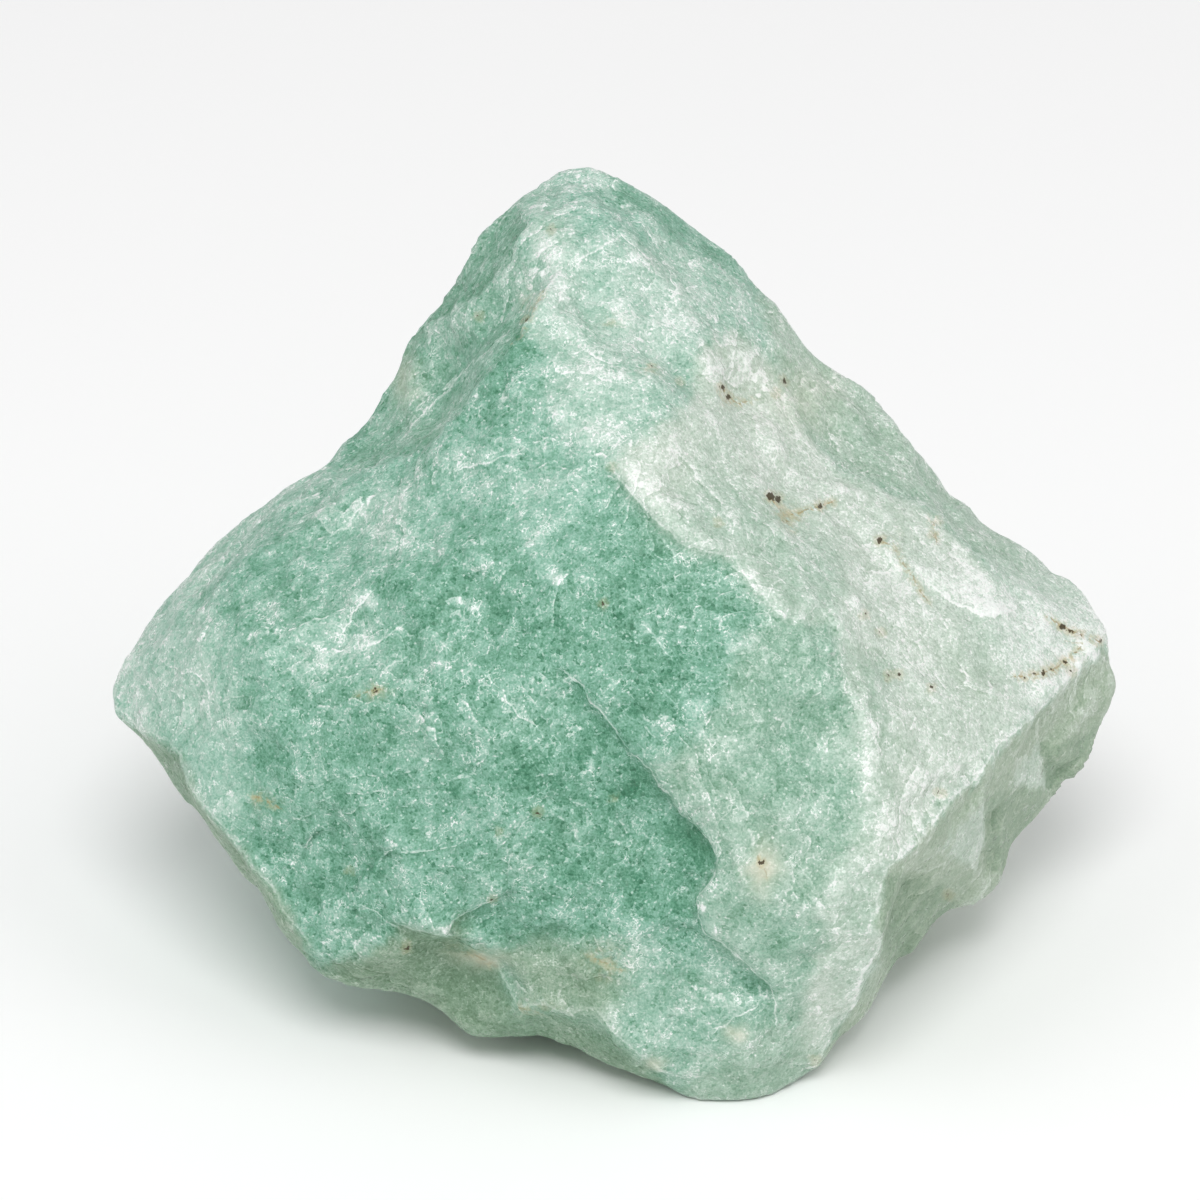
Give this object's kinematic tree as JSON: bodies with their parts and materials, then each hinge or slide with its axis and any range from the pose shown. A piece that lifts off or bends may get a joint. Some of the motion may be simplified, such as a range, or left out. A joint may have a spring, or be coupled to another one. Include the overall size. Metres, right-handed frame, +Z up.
{
  "type": "rough green aventurine",
  "caption": "Rough broken chunk of pale to mid green stone with a worn ridge, a hollow on one shoulder, stepped fracture faces and a small flat to rest on.",
  "frame": {"origin": "on the surface that the stone rests on, under the middle of its bounding box", "axes": "+Z up, +X to the right along the stone's longest way as its best face is seen, +Y away from the viewer to the hidden back"},
  "size_m": [0.063, 0.0466, 0.0448],
  "materials": {
    "stone": "rough sugary fracture, slightly waxy, small glints"
  },
  "bodies": {
    "root": {"aventurine_stone": "stone"}
  },
  "joints": []
}
